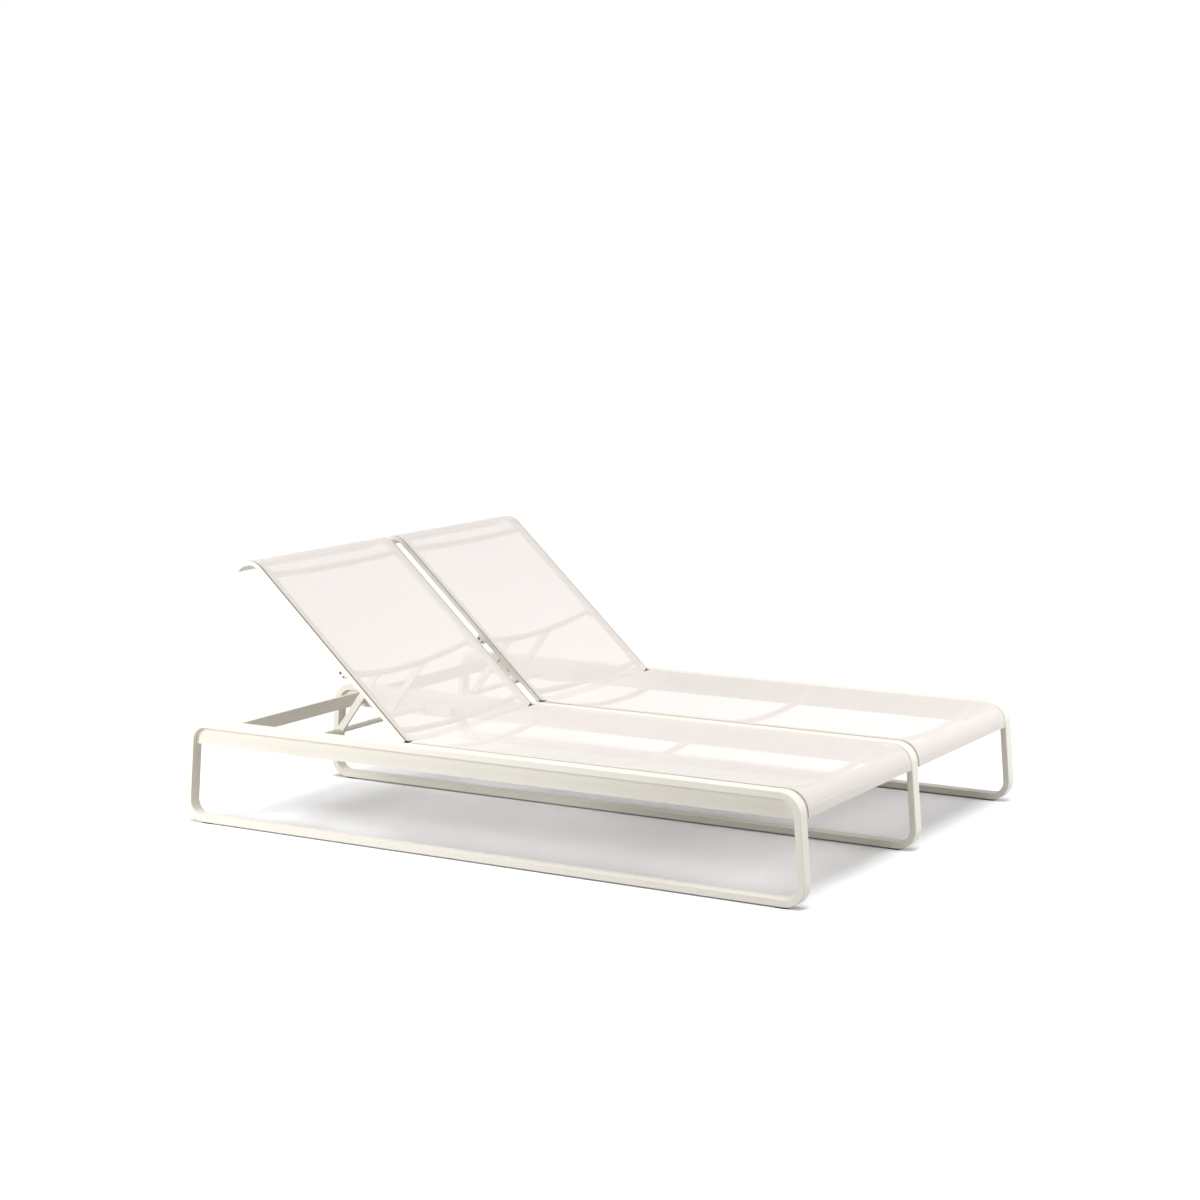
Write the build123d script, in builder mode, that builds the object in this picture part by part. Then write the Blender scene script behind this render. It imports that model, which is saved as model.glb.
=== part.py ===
from build123d import *
from math import cos, radians, sin, sqrt, tan
import os

# Double chaise lounger. Three closed loop frames carry two mesh beds side by side, and each bed has a
# backrest of its own that reclines on a ratchet stay.
# Millimetres and degrees. X runs across the two beds, +Y points to the head end and +Z is up. The origin
# lies on the floor under the middle of the lounger.

# Loop frames
loop_half_length = 1000.0
loop_top = 306.0
loop_width = 39.0
loop_depth = 19.0
loop_corner_radius = 60.0
loop_edge_bevel = 1.6
loop_pitch = 722.0
leg_flare = 4.74

# Glides under the bottom rails
glide_height = 4.0
glide_length = 38.0
glide_width = 30.0
glide_setback = 65.0
glide_corner = 5.0

# Rail plates inside the loops, and crossbars at the head end
rail_plate_thickness = 10.0
rail_plate_height = 52.0
crossbar_thickness = 10.0
crossbar_height = 39.0
crossbar_drop = 1.0
crossbar_setback = 115.0

# Edge rails that hold the slings
edge_rail_width = 30.0
edge_rail_depth = 11.0
edge_rail_gap = 3.5
edge_rail_lip = 3.0
slot_width = 5.0
slot_depth = 7.0
roll_end_height = 235.0
spacer_length = 14.0
spacer_height = 7.0
spacer_shares = (0.15, -0.2, -0.5, -0.8)

# Slings
sling_thickness = 1.2
bead_width = 2.4
bead_depth = 5.5
bead_clearance = 0.3
hem_setback = 1.0
seat_hem_bow_depth = 1.5
back_hem_bow_depth = 15.5

# Bars and tubes under the seats and in the rolls
seat_bar_height = 11.0
seat_bar_depth = 15.0
seat_bar_bow_depth = 30.0
seat_bar_clearance = 0.8
seat_hinge_bar_share = 0.157
seat_middle_bar_share = -0.368
seat_foot_bar_share = -0.898
foot_tube_radius = 19.0
foot_tube_sink = 2.5
foot_tube_angle = 50.0
hem_bar_height = 24.5
hem_bar_thickness = 10.0

# Backrest hinges
hinge_share = 0.249
hinge_drop = 7.0
hinge_eye_radius = 6.5
hinge_lug_corner = 2.5
hinge_pin_radius = 3.0
hinge_side_clearance = 0.5
hinge_neck_height = 9.0
rail_end_setback = 8.5
pin_clearance = 0.08

# Backrests, with the angle that they rest at and the angles that the ratchet's notches give
back_angle = 42.67
notch_angles = (48.3, back_angle, 32.0, 20.0, 0.0)
back_bar_depth = 16.0
back_bar_thickness = 10.0
back_bar_drop = 5.0
back_lower_bar_share = 0.0717
back_upper_bar_share = 0.9633
back_lower_bow_depth = 27.0
back_upper_bow_depth = 12.0

# Ears under the backrest's rails, and the stay that swings in them
stay_share = 0.4
stay_angle = 53.39
stay_pivot_drop = 17.0
ear_inset = 4.0
ear_thickness = 8.0
ear_radius = 8.0
ear_length = 30.0
ear_corner = 5.0
pivot_pin_radius = 4.0
pivot_pin_recess = 3.0
stay_bar_clearance = 0.5
stay_bar_height = 16.0
stay_bar_thickness = 10.0
stay_bar_bow_depth = 48.0
stay_arm_offset = 118.0
stay_arm_width = 10.0
stay_arm_depth = 20.0
stay_tube_radius = 8.0
stay_tube_clearance = 0.5

# Ratchet plates, on posts that stand on the rail plates
ratchet_inset = 4.0
ratchet_thickness = 8.0
ratchet_seat_drop = 43.0
ratchet_hook_height = 9.0
ratchet_height = 32.0
ratchet_nose_length = 54.0
ratchet_tail_length = 20.0
ratchet_tail_corner = 6.0
ratchet_nose_corner = 10.0
tooth_bevel = 1.5
notch_clearance = 0.4
notch_ramp_angle = 45.0
post_width = 12.0
post_height = 12.0
post_inset = 22.0

# How far a cutter runs past what it cuts
overrun = 2.0

# Places that follow from the sizes above
flare_slope = tan(radians(leg_flare))
half_top = loop_half_length - loop_top / 2 * flare_slope
half_bottom = loop_half_length + (loop_top / 2 - glide_height) * flare_slope
corner_y = half_top - loop_corner_radius / tan(radians(90 + leg_flare) / 2)
corner_z = loop_top - loop_corner_radius
plate_top = loop_top - loop_depth
plate_bottom = plate_top - rail_plate_height
bed_x = loop_pitch / 2
plate_offset = bed_x - rail_plate_thickness / 2
rail_outer = bed_x - loop_width / 2 - edge_rail_gap
rail_inner = rail_outer - edge_rail_width
rail_middle = (rail_outer + rail_inner) / 2
slot_outer = rail_outer - edge_rail_lip
slot_inner = slot_outer - slot_width
bead_inner = slot_inner + bead_clearance
bead_outer = bead_inner + bead_width
rail_bottom = loop_top - sling_thickness - edge_rail_depth
hinge_y = hinge_share * loop_half_length
hinge_z = loop_top - hinge_drop
back_length = corner_y - hinge_y
seat_rail_end = hinge_y - rail_end_setback
back_rail_end = hinge_y + rail_end_setback
ear_outer = rail_outer - ear_inset
ear_inner = ear_outer - ear_thickness
stay_bar_end = ear_inner - stay_bar_clearance
ratchet_inner = rail_inner + ratchet_inset
ratchet_outer = ratchet_inner + ratchet_thickness
ratchet_seat_height = loop_top - ratchet_seat_drop
ratchet_top = ratchet_seat_height + ratchet_hook_height
stay_tube_end = ratchet_inner - stay_tube_clearance
stay_length = stay_share * back_length
stay_rise = stay_length * sin(radians(stay_angle))
stay_pivot_rise = ratchet_seat_height + stay_rise - hinge_z + stay_pivot_drop * cos(radians(back_angle))
stay_pivot_reach = stay_pivot_rise / sin(radians(back_angle))
roll_span = (roll_end_height, loop_top + overrun)
hem_span = (roll_end_height, roll_end_height + hem_bar_height)

seat_bars = {
    "hinge": seat_hinge_bar_share,
    "middle": seat_middle_bar_share,
    "foot": seat_foot_bar_share,
}
back_bars = {
    "lower": (back_lower_bar_share, back_lower_bow_depth),
    "upper": (back_upper_bar_share, back_upper_bow_depth),
}
sides = {"left": -1, "right": 1}
ends = {"foot": -1, "head": 1}


def on_backrest(reach, rise, angle):
    """Return the (Y, Z) place of a point on a backrest that stands at the angle."""
    turn = radians(angle)
    return (
        hinge_y + reach * cos(turn) - rise * sin(turn),
        hinge_z + reach * sin(turn) + rise * cos(turn),
    )


def notch_y(angle):
    """Return where the stay's tube meets the ratchet when the backrest stands at the angle."""
    ear_y, ear_z = on_backrest(stay_pivot_reach, -stay_pivot_drop, angle)
    return ear_y + sqrt(stay_length**2 - (ear_z - ratchet_seat_height) ** 2)


pivot_y, pivot_z = on_backrest(stay_pivot_reach, -stay_pivot_drop, back_angle)


def seat_plane(x):
    """Return the side plane at x, whose own axes are Y and Z."""
    return Plane.YZ.offset(x)


def back_plane(x):
    """Return the side plane at x turned about the hinge, to draw the backrest as if it lay flat."""
    turn = radians(back_angle)
    y, z = on_backrest(-hinge_y, -hinge_z, back_angle)
    return Plane(origin=(x, y, z), x_dir=(0, cos(turn), sin(turn)), z_dir=(1, 0, 0))


def stay_plane(x):
    """Return the plane that the stay lies in, with its origin on the pivot and its Y up the stay."""
    turn = radians(stay_angle)
    return Plane(origin=(x, pivot_y, pivot_z), x_dir=(1, 0, 0), z_dir=(0, -sin(turn), -cos(turn)))


def cross_plane(side_plane, along, up):
    """Return the plane across the bed through a place on a side plane, with its own Y up."""
    return Plane(
        origin=side_plane.from_local_coords((along, up, 0)), x_dir=(1, 0, 0), z_dir=side_plane.x_dir * -1
    )


def outwards(bed, side, near, far):
    """Return the lower and higher X of a stretch that is given outwards from the middle of a bed."""
    return sorted((bed * bed_x + side * near, bed * bed_x + side * far))


def arc_radius(half_length, bow):
    """Return the radius of a bar that bends by the bow over twice the half length."""
    return (half_length**2 + bow**2) / (2 * bow)


def frame_outline(inset):
    """Return the side outline of a loop frame, moved inwards by the inset."""
    with BuildSketch() as outline:
        with BuildLine():
            Polyline(
                (-half_bottom, glide_height),
                (half_bottom, glide_height),
                (half_top, loop_top),
                (-half_top, loop_top),
                close=True,
            )
        make_face()
        fillet(outline.vertices(), loop_corner_radius)
        if inset:
            offset(amount=-inset)
    return outline.sketch


def edge_strip(plane, outer_inset, inner_inset, y_span, z_span):
    """Return the strip between two insets of the frame's outline, cut to a span of Y and of Z."""
    with BuildSketch(plane) as strip:
        add(frame_outline(outer_inset))
        add(frame_outline(inner_inset), mode=Mode.SUBTRACT)
        with Locations((sum(y_span) / 2, sum(z_span) / 2)):
            Rectangle(y_span[1] - y_span[0], z_span[1] - z_span[0], mode=Mode.INTERSECT)
    return strip.sketch


def bowed_bar(plane, half_length, bow, height, depth):
    """Return a bar bent in one even arc that hangs below the plane's X axis, with upright ends."""
    radius = arc_radius(half_length, bow)
    with BuildPart() as bar:
        with BuildSketch(plane):
            with Locations((0, radius - bow)):
                Circle(radius + height / 2)
                Circle(radius - height / 2, mode=Mode.SUBTRACT)
            Rectangle(2 * half_length, 2 * (bow + height), mode=Mode.INTERSECT)
        extrude(amount=depth / 2, both=True)
    return bar


def edge_rail(plane_at, bed, side, y_span):
    """Return the rail along a sling's edge, with the slot that takes the sling's bead."""
    low, high = outwards(bed, side, rail_inner, rail_outer)
    slot_low, slot_high = outwards(bed, side, slot_inner, slot_outer)
    rail_inset = sling_thickness + edge_rail_depth
    slot_inset = sling_thickness + slot_depth
    with BuildPart() as rail:
        extrude(edge_strip(plane_at(low), sling_thickness, rail_inset, y_span, roll_span), amount=high - low)
        extrude(
            edge_strip(plane_at(slot_low), -overrun, slot_inset, y_span, roll_span),
            amount=slot_high - slot_low,
            mode=Mode.SUBTRACT,
        )
    return rail


def sling(plane_at, bed, y_span, hem_y, hem_middle_y, beyond_y):
    """Return a sling: the cloth over the rails and round the roll, its beads and its bowed hem."""
    x = bed * bed_x
    bead_inset = sling_thickness + bead_depth
    hem_half = bead_outer + overrun
    with BuildPart() as cloth:
        extrude(edge_strip(plane_at(x), 0, sling_thickness, y_span, roll_span), amount=bead_outer, both=True)
        for side in sides.values():
            low, high = outwards(bed, side, bead_inner, bead_outer)
            extrude(edge_strip(plane_at(low), 0, bead_inset, y_span, roll_span), amount=high - low)
        face = plane_at(x)
        cloth_plane = Plane(
            origin=face.from_local_coords((0, loop_top + overrun, 0)), x_dir=(1, 0, 0), z_dir=face.y_dir
        )
        with BuildSketch(cloth_plane):
            with BuildLine():
                hem = ThreePointArc((-hem_half, hem_y), (0, hem_middle_y), (hem_half, hem_y))
                Polyline(hem @ 1, (hem_half, beyond_y), (-hem_half, beyond_y), hem @ 0)
            make_face()
        extrude(amount=-(2 * overrun + bead_inset), mode=Mode.SUBTRACT)
    return cloth


def hem_bar(plane_at, bed, y_span):
    """Return the flat bar that holds the sling down at the end of a roll."""
    inner_inset = sling_thickness + hem_bar_thickness
    with BuildPart() as bar:
        extrude(
            edge_strip(plane_at(bed * bed_x), sling_thickness, inner_inset, y_span, hem_span),
            amount=rail_inner,
            both=True,
        )
    return bar


def save(piece, name):
    """Label a finished piece and write its STEP file."""
    piece.part.label = name
    export_step(piece.part, f"parts/{name}.step")


# Loop frames
def build_loop(x):
    """Closed loop of flat tube: top rail, leaning legs and bottom rail in one bend."""
    with BuildPart() as loop:
        with BuildSketch(seat_plane(x)):
            add(frame_outline(0))
            add(frame_outline(loop_depth), mode=Mode.SUBTRACT)
        extrude(amount=loop_width / 2, both=True)
        outer_edges = [edge for face in loop.faces().filter_by(Axis.X) for edge in face.outer_wire().edges()]
        chamfer(outer_edges, loop_edge_bevel)
    return loop


def build_rail_plate(x):
    """Plate that closes the top of the loop's opening, set back from both sides of the tube."""
    with BuildPart() as plate:
        with BuildSketch(seat_plane(x)):
            add(frame_outline(loop_depth))
            with Locations((0, (plate_bottom + plate_top) / 2)):
                Rectangle(2 * half_bottom, rail_plate_height, mode=Mode.INTERSECT)
        extrude(amount=rail_plate_thickness / 2, both=True)
    return plate


def build_glide(x, end):
    """Pad under the end of a bottom rail."""
    with BuildPart() as glide:
        with BuildSketch() as pad:
            with Locations((x, end * (loop_half_length - glide_setback))):
                Rectangle(glide_width, glide_length)
            chamfer(pad.vertices(), glide_corner)
        extrude(amount=glide_height)
    return glide


# Seat
def build_crossbar(bed):
    """Flat bar across the head end, from rail plate to rail plate."""
    y = loop_half_length - crossbar_setback + crossbar_thickness / 2
    z = plate_top - crossbar_drop - crossbar_height / 2
    with BuildPart() as crossbar:
        with BuildSketch(seat_plane(bed * bed_x)):
            with Locations((y, z)):
                Rectangle(crossbar_thickness, crossbar_height)
        extrude(amount=plate_offset, both=True)
    return crossbar


def build_seat_rail(bed, side):
    """Edge rail of the seat, on spacers that stand on the inside of the loop."""
    low, high = outwards(bed, side, rail_outer, rail_outer + edge_rail_gap)
    z = rail_bottom + edge_rail_depth / 2
    with BuildPart() as rail:
        add(edge_rail(seat_plane, bed, side, (-half_bottom, seat_rail_end)).part)
        with BuildSketch(seat_plane(low)):
            with Locations([(share * loop_half_length, z) for share in spacer_shares]):
                Rectangle(spacer_length, spacer_height)
        extrude(amount=high - low)
    return rail


def build_seat_bar(bed, share):
    """Cross bar between the seat's edge rails, bowed down so that the sling can sink above it."""
    z = loop_top - sling_thickness - seat_bar_clearance - seat_bar_height / 2
    plane = cross_plane(seat_plane(bed * bed_x), share * loop_half_length, z)
    return bowed_bar(plane, rail_inner, seat_bar_bow_depth, seat_bar_height, seat_bar_depth)


def build_foot_tube(bed):
    """Round tube inside the foot roll, between the edge rails."""
    reach = loop_corner_radius - sling_thickness - foot_tube_sink - foot_tube_radius
    turn = radians(foot_tube_angle)
    with BuildPart() as tube:
        with BuildSketch(seat_plane(bed * bed_x)):
            with Locations((-corner_y - reach * sin(turn), corner_z + reach * cos(turn))):
                Circle(foot_tube_radius)
        extrude(amount=rail_inner, both=True)
    return tube


def build_hinge_bracket(bed, side):
    """Lug and pin of a backrest hinge, on the head end of a seat rail."""
    near = rail_middle + hinge_side_clearance / 2
    low, high = outwards(bed, side, near, rail_outer)
    pin_low, pin_high = outwards(bed, side, rail_inner + hinge_side_clearance, near)
    front = hinge_y + hinge_eye_radius
    with BuildPart() as bracket:
        with BuildSketch(seat_plane(low)) as lug:
            with Locations(((seat_rail_end + front) / 2, hinge_z)):
                Rectangle(front - seat_rail_end, 2 * hinge_eye_radius)
            chamfer(lug.vertices(), hinge_lug_corner)
        extrude(amount=high - low)
        with BuildSketch(seat_plane(pin_low)):
            with Locations((hinge_y, hinge_z)):
                Circle(hinge_pin_radius)
        extrude(amount=pin_high - pin_low)
    return bracket


def build_seat_sling(bed):
    """Mesh of the seat, from the hinges round the foot roll."""
    hem_y = seat_rail_end - hem_setback
    hem_middle_y = hem_y - seat_hem_bow_depth
    beyond_y = seat_rail_end + overrun
    return sling(seat_plane, bed, (-half_bottom, seat_rail_end), hem_y, hem_middle_y, beyond_y)


# Ratchet
def build_ratchet(bed, side):
    """Plate with a hooked notch for each angle of the backrest, on posts from the rail plate."""
    low, high = outwards(bed, side, ratchet_inner, ratchet_outer)
    post_low, post_high = outwards(bed, side, ratchet_outer, plate_offset)
    notches = [notch_y(angle) for angle in notch_angles]
    start = notches[0] - ratchet_nose_length
    end = notches[-1] + ratchet_tail_length
    radius = stay_tube_radius + notch_clearance
    ramp = radians(notch_ramp_angle)
    ramp_rise = ratchet_hook_height + overrun + radius * cos(ramp)
    middle_z = ratchet_top - ratchet_height / 2
    post_z = ratchet_top - ratchet_height + post_height / 2 + tooth_bevel
    with BuildPart() as ratchet:
        with BuildSketch(seat_plane(low)) as plate:
            with Locations(((start + end) / 2, middle_z)):
                Rectangle(end - start, ratchet_height)
            chamfer(plate.vertices().group_by(Axis.X)[-1], ratchet_tail_corner)
            chamfer(plate.vertices().group_by(Axis.X)[0], ratchet_nose_corner)
            for y in notches:
                with Locations((y, ratchet_seat_height)):
                    Circle(radius, mode=Mode.SUBTRACT)
                with BuildLine():
                    Polyline(
                        (y + radius, ratchet_seat_height),
                        (y + radius, ratchet_top + overrun),
                        (y - radius * sin(ramp) - ramp_rise / tan(ramp), ratchet_top + overrun),
                        (y - radius * sin(ramp), ratchet_seat_height - radius * cos(ramp)),
                        close=True,
                    )
                make_face(mode=Mode.SUBTRACT)
            chamfer(plate.vertices().group_by(Axis.Y)[-1].sort_by(Axis.X)[1:-1], tooth_bevel)
        extrude(amount=high - low)
        with BuildSketch(seat_plane(post_low)):
            with Locations(
                (start + post_inset, middle_z), ((start + end) / 2, post_z), (end - post_inset, post_z)
            ):
                Rectangle(post_width, post_height)
        extrude(amount=post_high - post_low)
    return ratchet


# Backrest
def build_back_rail(bed, side):
    """Edge rail of the backrest, with its hinge eye and the ear that the stay swings in."""
    ear_low, ear_high = outwards(bed, side, ear_inner, ear_outer)
    eye_low, eye_high = outwards(bed, side, rail_inner, rail_middle - hinge_side_clearance / 2)
    ear_y = hinge_y + stay_pivot_reach
    ear_z = hinge_z - stay_pivot_drop
    middle_y = ear_y + ear_radius - ear_length / 2
    ear_bottom = ear_z - ear_radius
    ear_top = rail_bottom + edge_rail_depth - slot_depth - tooth_bevel
    with BuildPart() as rail:
        add(edge_rail(back_plane, bed, side, (back_rail_end, half_bottom)).part)
        with BuildSketch(back_plane(eye_low)):
            with Locations((hinge_y, hinge_z)):
                Circle(hinge_eye_radius)
            with Locations(((hinge_y + back_rail_end) / 2, hinge_z)):
                Rectangle(rail_end_setback, hinge_neck_height)
        extrude(amount=eye_high - eye_low)
        with BuildSketch(back_plane(ear_low)) as ear:
            with Locations((middle_y, (ear_bottom + ear_top) / 2)):
                Rectangle(ear_length, ear_top - ear_bottom)
            chamfer(ear.vertices().group_by(Axis.Y)[0], ear_corner)
        extrude(amount=ear_high - ear_low)
        with BuildSketch(back_plane(ear_low)):
            with Locations((ear_y, ear_z)):
                Circle(pivot_pin_radius + pin_clearance)
        extrude(amount=ear_high - ear_low, mode=Mode.SUBTRACT)
        with BuildSketch(back_plane(eye_low)):
            with Locations((hinge_y, hinge_z)):
                Circle(hinge_pin_radius + pin_clearance)
        extrude(amount=eye_high - eye_low, mode=Mode.SUBTRACT)
    return rail


def build_back_bar(bed, share, bow):
    """Cross bar behind the backrest, bowed away from the sling."""
    plane = cross_plane(back_plane(bed * bed_x), hinge_y + share * back_length, hinge_z - back_bar_drop)
    return bowed_bar(plane, rail_inner, bow, back_bar_depth, back_bar_thickness)


def build_back_sling(bed):
    """Mesh of the backrest, from the hinges round the head roll."""
    hem_y = back_rail_end + hem_setback
    hem_middle_y = hem_y - back_hem_bow_depth
    return sling(back_plane, bed, (hem_middle_y, half_bottom), hem_y, hem_middle_y, hem_middle_y - overrun)


# Stay
def build_stay_bar(bed):
    """Bowed top bar of the stay, with a pivot pin on each end."""
    plane = stay_plane(bed * bed_x)
    bar = bowed_bar(plane, stay_bar_end, stay_bar_bow_depth, stay_bar_height, stay_bar_thickness)
    with BuildPart() as stay_bar:
        add(bar.part)
        for side in sides.values():
            low, high = outwards(bed, side, stay_bar_end, ear_outer - pivot_pin_recess)
            with BuildSketch(seat_plane(low)):
                with Locations((pivot_y, pivot_z)):
                    Circle(pivot_pin_radius)
            extrude(amount=high - low)
    return stay_bar


def build_stay_tube(bed):
    """Cross tube at the foot of the stay, which drops into the notches."""
    foot = stay_plane(bed * bed_x).from_local_coords((0, -stay_length, 0))
    with BuildPart() as tube:
        with BuildSketch(seat_plane(bed * bed_x)):
            with Locations((foot.Y, foot.Z)):
                Circle(stay_tube_radius)
        extrude(amount=stay_tube_end, both=True)
    return tube


def build_stay_arm(bed, side, bar, tube):
    """Flat arm of the stay, notched over the bowed bar and saddled on the cross tube."""
    radius = arc_radius(stay_bar_end, stay_bar_bow_depth)
    top = radius - stay_bar_bow_depth - sqrt(radius**2 - stay_arm_offset**2)
    with BuildPart() as arm:
        with BuildSketch(stay_plane(bed * bed_x)):
            with Locations((side * stay_arm_offset, (top - stay_length) / 2)):
                Rectangle(stay_arm_width, top + stay_length)
        extrude(amount=stay_arm_depth / 2, both=True)
        add(bar.part, mode=Mode.SUBTRACT)
        add(tube.part, mode=Mode.SUBTRACT)
    return arm


os.makedirs("parts", exist_ok=True)

# Loops, each with its plate and glides
for place, x in {"left": -loop_pitch, "middle": 0, "right": loop_pitch}.items():
    save(build_loop(x), f"loop_{place}")
    save(build_rail_plate(x), f"rail_plate_{place}")
    for end_name, end in ends.items():
        save(build_glide(x, end), f"glide_{place}_{end_name}")

# The two beds
for bed_name, bed in sides.items():
    save(build_crossbar(bed), f"crossbar_{bed_name}")
    save(build_foot_tube(bed), f"foot_tube_{bed_name}")
    save(hem_bar(seat_plane, bed, (-half_bottom, -corner_y)), f"foot_hem_bar_{bed_name}")
    save(hem_bar(back_plane, bed, (corner_y, half_bottom)), f"head_hem_bar_{bed_name}")
    save(build_seat_sling(bed), f"seat_sling_{bed_name}")
    save(build_back_sling(bed), f"back_sling_{bed_name}")
    for bar_name, share in seat_bars.items():
        save(build_seat_bar(bed, share), f"seat_bar_{bed_name}_{bar_name}")
    for bar_name, (share, bow) in back_bars.items():
        save(build_back_bar(bed, share, bow), f"back_bar_{bed_name}_{bar_name}")
    stay_bar = build_stay_bar(bed)
    stay_tube = build_stay_tube(bed)
    save(stay_bar, f"stay_bar_{bed_name}")
    save(stay_tube, f"stay_tube_{bed_name}")
    for side_name, side in sides.items():
        save(build_seat_rail(bed, side), f"seat_rail_{bed_name}_{side_name}")
        save(build_hinge_bracket(bed, side), f"hinge_bracket_{bed_name}_{side_name}")
        save(build_ratchet(bed, side), f"ratchet_{bed_name}_{side_name}")
        save(build_back_rail(bed, side), f"back_rail_{bed_name}_{side_name}")
        save(build_stay_arm(bed, side, stay_bar, stay_tube), f"stay_arm_{bed_name}_{side_name}")
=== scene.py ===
"""Double chaise lounger: its slings, finishes, fasteners and studio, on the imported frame.

Metres, in the frame of the CAD: X across the two beds, +Y to the head end, +Z up, floor at Z = 0.
"""

import logging
import math
from dataclasses import dataclass, replace
from enum import Enum
from typing import Any, Sequence

import bmesh
import bpy
from bmesh.types import BMEdge, BMesh, BMFace, BMVert
from mathutils import Matrix, Vector

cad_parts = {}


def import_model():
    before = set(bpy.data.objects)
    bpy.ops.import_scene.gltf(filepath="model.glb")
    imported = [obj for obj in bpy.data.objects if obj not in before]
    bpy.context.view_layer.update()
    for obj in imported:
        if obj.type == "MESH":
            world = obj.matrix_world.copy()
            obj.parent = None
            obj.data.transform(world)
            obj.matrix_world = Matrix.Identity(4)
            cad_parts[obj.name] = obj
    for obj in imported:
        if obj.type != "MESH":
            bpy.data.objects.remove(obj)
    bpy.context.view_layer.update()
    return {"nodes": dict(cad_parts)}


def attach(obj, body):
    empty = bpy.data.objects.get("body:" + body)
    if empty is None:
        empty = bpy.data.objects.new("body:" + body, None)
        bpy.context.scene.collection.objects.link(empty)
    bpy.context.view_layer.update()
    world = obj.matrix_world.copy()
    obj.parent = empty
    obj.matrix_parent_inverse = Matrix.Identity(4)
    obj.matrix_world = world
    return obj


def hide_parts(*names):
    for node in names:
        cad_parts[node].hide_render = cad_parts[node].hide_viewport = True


LOG = logging.getLogger("lounger")
SIDES = (-1, 1)
HEM_LAYER = "hem_distance"

Colour = tuple[float, float, float]


class Bed(Enum):
    """One of the two beds, with the side of the lounger that it lies on."""

    LEFT = ("left", -1)
    RIGHT = ("right", 1)

    @property
    def label(self) -> str:
        """Name of the bed in the names of its pieces."""
        return self.value[0]

    @property
    def sign(self) -> int:
        """Minus one for the left bed and one for the right bed."""
        return self.value[1]


class Part(Enum):
    """The two cloths of a bed."""

    SEAT = "seat"
    BACK = "back"


# Shader maths


@dataclass(frozen=True)
class Noise:
    """Soft noise between 0 and 1: its scale, how many finer layers it has and how strong they are."""

    scale: float
    detail: float
    roughness: float = 0.5


class Signal:
    """A number that a shader works out, for use in Python arithmetic."""

    def __init__(self, nodes: "NodeTree", socket: bpy.types.NodeSocket) -> None:
        """Hold the output socket that carries the number."""
        self.nodes = nodes
        self.socket = socket

    def sibling(self, output: str | int) -> "Signal":
        """Another output of the node that this number comes from."""
        return Signal(self.nodes, self.socket.node.outputs[output])

    def math(self, operation: str, *others: "Signal | float", clamp: bool = False) -> "Signal":
        """Add a Math node.

        Args:
            operation: the node's operation.
            others: the inputs after this one.
            clamp: whether the result is held between 0 and 1.

        Returns:
            The node's result.
        """
        settings = {"operation": operation, "use_clamp": clamp}
        return self.nodes.node("ShaderNodeMath", settings, dict(enumerate((self, *others))))

    def __add__(self, other: "Signal | float") -> "Signal":
        """Sum with another signal or number."""
        return self.math("ADD", other)

    __radd__ = __add__

    def __mul__(self, other: "Signal | float") -> "Signal":
        """Product with another signal or number."""
        return self.math("MULTIPLY", other)

    __rmul__ = __mul__

    def __sub__(self, other: "Signal | float") -> "Signal":
        """Difference from another signal or number."""
        return self.math("SUBTRACT", other)

    def __rsub__(self, other: float) -> "Signal":
        """A number less this signal."""
        return (self * -1.0).math("ADD", other)

    def __truediv__(self, other: "Signal | float") -> "Signal":
        """Quotient by another signal or number."""
        return self.math("DIVIDE", other)

    def __mod__(self, other: float) -> "Signal":
        """Remainder, never below zero."""
        return self.math("FLOORED_MODULO", other)

    def __abs__(self) -> "Signal":
        """Distance from zero."""
        return self.math("ABSOLUTE")

    def whole(self) -> "Signal":
        """The whole number below."""
        return self.math("FLOOR")

    def below(self, edge: float, softness: float) -> "Signal":
        """One under the edge and zero over it, with a ramp as wide as the softness."""
        return ((self * -1.0 + (edge + softness / 2)) / softness).math("ADD", 0.0, clamp=True)


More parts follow.
